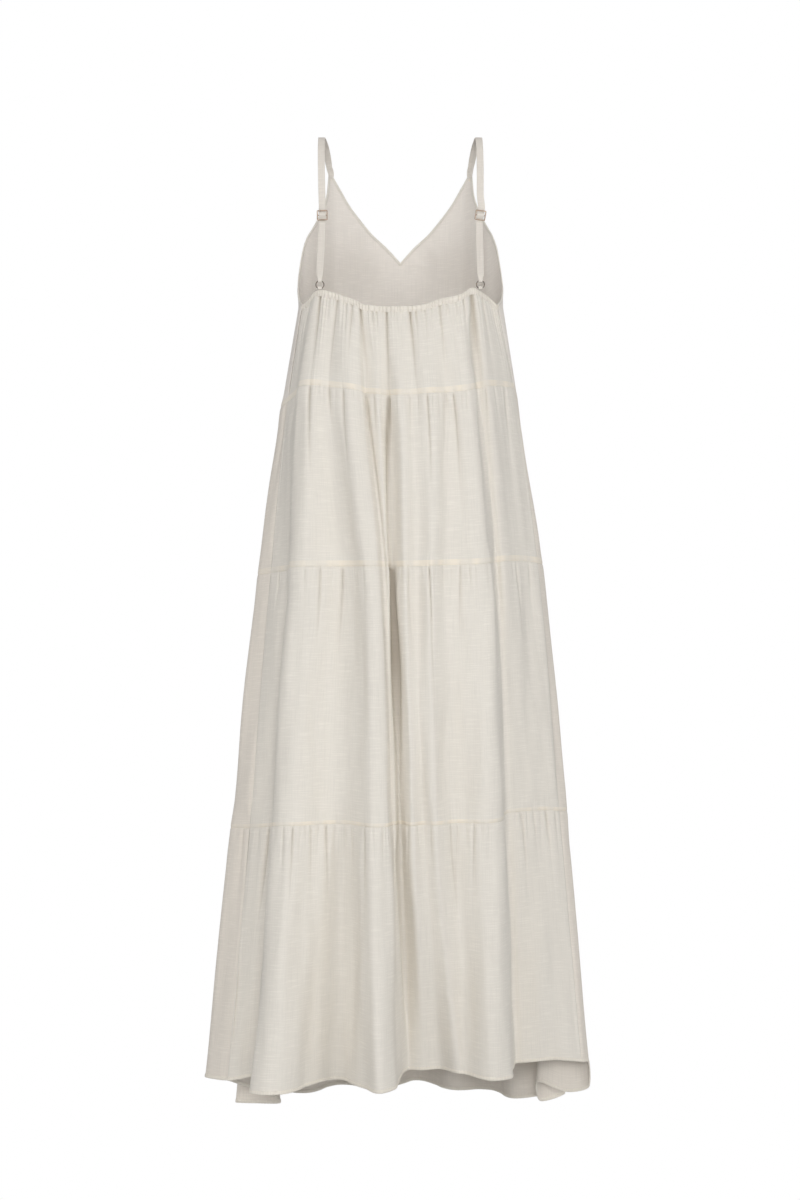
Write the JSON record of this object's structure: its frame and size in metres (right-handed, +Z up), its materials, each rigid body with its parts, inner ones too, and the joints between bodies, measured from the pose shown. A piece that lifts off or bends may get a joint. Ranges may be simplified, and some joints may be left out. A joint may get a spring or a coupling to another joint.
{
  "type": "maxi dress",
  "caption": "Long sleeveless tiered dress with gathered seams, V neck, adjustable straps and a low elasticated back, hollow and filled out as worn.",
  "frame": {"origin": "midway between the tops of the two shoulder straps, where the wearer's shoulders hold the dress", "axes": "+Z up, +Y towards the wearer's front, so the back of the dress faces -Y, and +X to the right of someone who looks at its back"},
  "size_m": [0.5469, 0.3919, 1.3906],
  "materials": {
    "cloth": "matt cream plain weave with slubs",
    "strap_cloth": "matt cream plain weave, folded and edge stitched",
    "metal": "polished light gold"
  },
  "bodies": {
    "root": {"front_bodice": "cloth", "back_bodice": "cloth", "back_band": "cloth", "tier2_front": "cloth", "tier2_back": "cloth", "tier3_front": "cloth", "tier3_back": "cloth", "tier4_front": "cloth", "tier4_back": "cloth", "strap_left": "strap_cloth", "strap_right": "strap_cloth", "ring_tab_left": "strap_cloth", "ring_tab_right": "strap_cloth", "slider_left": "metal", "slider_right": "metal", "ring_left": "metal", "ring_right": "metal"}
  },
  "joints": []
}
